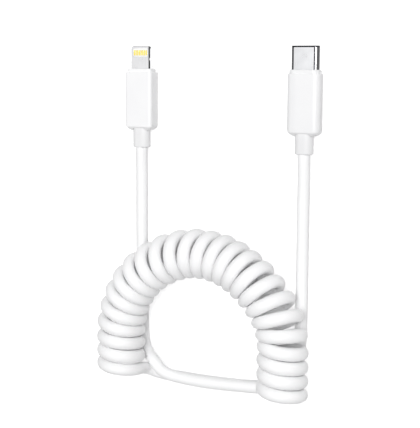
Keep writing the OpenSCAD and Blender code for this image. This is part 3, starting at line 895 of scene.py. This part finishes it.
def buildSleeve(name, plug, node):
    front = cases["rearWall"] - cases["bodyLength"]
    length = cases["rearWall"] + cases["sleeveLength"]
    size = (cases["sleeveWidth"], length, cases["sleeveThickness"])
    sleeve = addRoundBar(name, size, cases["sleeveRadius"], cases["outerSegments"], front)
    roundEdges(sleeve, *cases["sleeveRound"], liesAt(front - length))
    deselectAll()
    bpy.ops.mesh.primitive_cylinder_add(
        vertices=cases["boreSides"], radius=(cord["diameter"] / 2 + cases["fit"]) * mm,
        depth=(length + 2 * cases["past"]) * mm, location=(0, (front - length / 2) * mm, 0),
        rotation=(math.radians(90), 0, 0))
    cutAway(sleeve, bpy.context.object)
    finishPiece(sleeve, plug, "sleeve", node)


tab = {  # millimetres, lengths and places measured from the plug's front face
    "width": 6.7, "thickness": 1.5, "length": 6.7,
    "root": 4.2,  # how deep it sits in the plug
    "tipRound": (0.75, 8), "edgeRound": (0.32, 4),  # radius, segments
    "windowWidth": 5.2, "windowLength": 2.6, "windowRear": 3.5, "windowRound": (0.35, 5),
    "notchRadius": 0.5, "notchFront": 2.8, "notchOut": 0.2, "notchSides": 32,
    "boardSlot": (5.1, 1.5, 0.9),
    "cutHeight": 3,
    "padCount": 8, "padPitch": 0.6, "padWidth": 0.42, "padLength": 1.55, "padThickness": 0.15,
    "padRear": 3.9, "padRound": (0.08, 3), "padEdge": (0.02, 2),
    "padGap": 0.02,  # air round a pad in its pocket
    "padFloor": 0.005,  # and under it
    "pocketOver": 0.5,  # how far a pocket's cutter stands out of the block
}


def tabMouth():
    gap, (length, front) = 2 * cases["fit"], cases["mouth"]
    return addBar("mouth", (tab["width"] + gap, length, tab["thickness"] + gap), front)


def liesLevel(height):  # tests for level edges at a height above or below the middle
    return lambda edge: (abs(abs(edge.verts[0].co.z) - height * mm) < snap
                         and abs(edge.verts[0].co.z - edge.verts[1].co.z) < snap)


def buildTongue():
    size = (tab["width"], tab["length"] + tab["root"], tab["thickness"])
    tongue = addBar("tabTongue", size, tab["length"])
    isTip, isRear = liesAt(tab["length"]), liesAt(-tab["root"])
    isFlat = liesLevel(tab["thickness"] / 2)
    roundEdges(tongue, *tab["tipRound"], lambda edge: runsUp(edge) and isTip(edge))
    roundEdges(tongue, *tab["edgeRound"], lambda edge: isFlat(edge) and not isRear(edge))
    window = addBar("window", (tab["windowWidth"], tab["windowLength"], tab["cutHeight"]),
                    tab["windowRear"] + tab["windowLength"])
    roundEdges(window, *tab["windowRound"], runsUp)
    cutAway(tongue, window)
    for side in (-1, 1):
        deselectAll()
        place = Vector((side * (tab["width"] / 2 + tab["notchOut"]), tab["notchFront"], 0)) * mm
        bpy.ops.mesh.primitive_cylinder_add(vertices=tab["notchSides"], radius=tab["notchRadius"] * mm,
                                            depth=tab["cutHeight"] * mm, location=place)
        cutAway(tongue, bpy.context.object)
    width, length, height = tab["boardSlot"]
    cutAway(tongue, addBar("slot", (width, length + cases["past"], height), length - tab["root"]))
    finishPiece(tongue, tabPlug, "tabSteel", "tab_tongue")


def buildInsulator():
    fit = cases["fit"]
    size = (tab["windowWidth"] - 2 * fit, tab["windowLength"] - 2 * fit, tab["thickness"])
    block = addBar("tabInsulator", size, tab["windowRear"] + tab["windowLength"] - fit)
    radius, segments = tab["windowRound"]
    roundEdges(block, radius - fit, segments, runsUp)
    gap, depth = tab["padGap"], tab["padThickness"] + tab["pocketOver"]
    floor = tab["thickness"] / 2 - tab["padThickness"] - tab["padFloor"]
    for side in (-1, 1):
        pocket = addBar("pocket", (tab["padWidth"] + 2 * gap, tab["padLength"] + 2 * gap, depth),
                        tab["padRear"] + tab["padLength"] + gap,
                        (1 - tab["padCount"]) / 2 * tab["padPitch"], side * (floor + depth / 2))
        roundEdges(pocket, *tab["padRound"], runsUp)
        cutAway(block, copyRow(pocket, tab["padCount"], tab["padPitch"]))
    finishPiece(block, tabPlug, "insulator", "tab_insulator")


def buildPads(name, side, node):
    pad = addBar(name, (tab["padWidth"], tab["padLength"], tab["padThickness"]),
                 tab["padRear"] + tab["padLength"], (1 - tab["padCount"]) / 2 * tab["padPitch"],
                 side * (tab["thickness"] - tab["padThickness"]) / 2)
    roundEdges(pad, *tab["padRound"], runsUp)
    top = side * tab["thickness"] / 2 * mm
    roundEdges(pad, *tab["padEdge"], lambda edge: all(abs(v.co.z - top) < snap for v in edge.verts))
    finishPiece(copyRow(pad, tab["padCount"], tab["padPitch"]), tabPlug, "gold", node)


shell = {  # millimetres
    "width": 8.25, "thickness": 2.4, "length": 6.65, "wall": 0.25,
    "root": 4.5,  # how deep it sits in the plug
    "sideSegments": 16,
    "sideSpare": 0.001,  # what a side lacks of a full half round, so that its roundings stay apart
    "rimRound": (0.07, 3),  # radius, segments
    "sharpFrom": 1,  # radians, leaves out the edges across the sheet's thickness
}


def addOvalBar(name, width, thickness, length, front):
    return addRoundBar(name, (width, length, thickness), thickness / 2 - shell["sideSpare"],
                       shell["sideSegments"], front)


def ovalMouth():
    gap = 2 * cases["fit"]
    return addOvalBar("mouth", shell["width"] + gap, shell["thickness"] + gap, *cases["mouth"])


def buildShell():
    isFront, isRear = liesAt(shell["length"]), liesAt(-shell["root"])
    sheet = addOvalBar("ovalShell", shell["width"], shell["thickness"],
                       shell["length"] + shell["root"], shell["length"])
    pick(sheet, "faces", lambda face: isFront(face) or isRear(face))
    bpy.ops.mesh.delete(type="FACE")
    bpy.ops.object.mode_set(mode="OBJECT")
    wall = sheet.modifiers.new("wall", "SOLIDIFY")
    wall.thickness = shell["wall"] * mm
    wall.offset = -1
    wall.use_even_offset = True
    bpy.ops.object.modifier_apply(modifier=wall.name)
    roundEdges(sheet, *shell["rimRound"],
               lambda edge: isFront(edge) and edge.calc_face_angle(0) > shell["sharpFrom"])
    finishPiece(sheet, ovalPlug, "shellSteel", "oval_shell")


buildHousing("tabHousing", tabPlug, "tab", "tab_housing", "housing")
buildCollar("tabCollar", tabPlug, "tab", "tab_collar", "housing", tabMouth)
buildSleeve("tabSleeve", tabPlug, "tab_relief")
buildHousing("ovalHousing", ovalPlug, "oval", "oval_housing", "ovalHousing")
buildCollar("ovalCollar", ovalPlug, "oval", "oval_collar", "ovalHousing", ovalMouth)
buildSleeve("ovalSleeve", ovalPlug, "oval_relief")
print("cases, collars and sleeves made")
buildTongue()
buildInsulator()
buildPads("tabPadsTop", 1, "tab_contacts_top")
buildPads("tabPadsBottom", -1, "tab_contacts_bottom")
buildShell()
print("tab and shell made")
